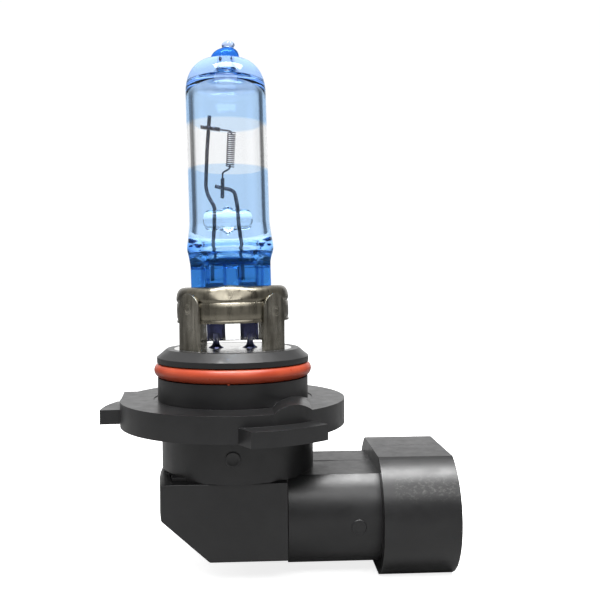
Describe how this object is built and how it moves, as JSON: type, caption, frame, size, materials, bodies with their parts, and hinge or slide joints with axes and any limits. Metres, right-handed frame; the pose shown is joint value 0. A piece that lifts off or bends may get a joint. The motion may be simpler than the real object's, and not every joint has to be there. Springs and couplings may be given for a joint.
{
  "type": "headlight bulb",
  "caption": "Halogen headlight bulb with a blue coated glass capsule, steel retainer ring, turn-lock plastic base with O-ring and right-angle connector.",
  "frame": {"origin": "centre of the flange's top face, which seats against the lamp, on the bulb's axis", "axes": "+Z along the bulb's axis to the glass tip, +X towards the connector's mouth"},
  "size_m": [0.0504, 0.0374, 0.0767],
  "materials": {
    "coated_glass": "clear with a blue film",
    "clear_glass": "clear",
    "tungsten": "dark drawn wire",
    "molybdenum_foil": "dark blue-black foil",
    "lead_metal": "dull wire",
    "holder_steel": "warm grey stamped steel",
    "tinned_steel": "bright tin plate",
    "black_plastic": "satin moulded",
    "resin": "cast",
    "red_silicone": "satin",
    "brass": "plain"
  },
  "bodies": {
    "root": {"glass_capsule": "coated_glass", "filament_coil": "tungsten", "upper_filament_sleeve": "tungsten", "lower_filament_sleeve": "tungsten", "long_support_wire": "tungsten", "short_support_wire": "tungsten", "bridge_bead": "clear_glass", "foil_left": "molybdenum_foil", "foil_right": "molybdenum_foil", "outer_lead_left": "lead_metal", "outer_lead_right": "lead_metal", "retainer_ring": "holder_steel", "pinch_clip": "holder_steel", "leg_bracket": "tinned_steel", "base_housing": "black_plastic", "sealing_plug": "resin", "o_ring": "red_silicone", "ferrule_left": "brass", "ferrule_right": "brass", "terminal_left": "tinned_steel", "terminal_right": "tinned_steel", "terminal_carrier": "black_plastic", "elbow_cover": "black_plastic"}
  },
  "joints": []
}
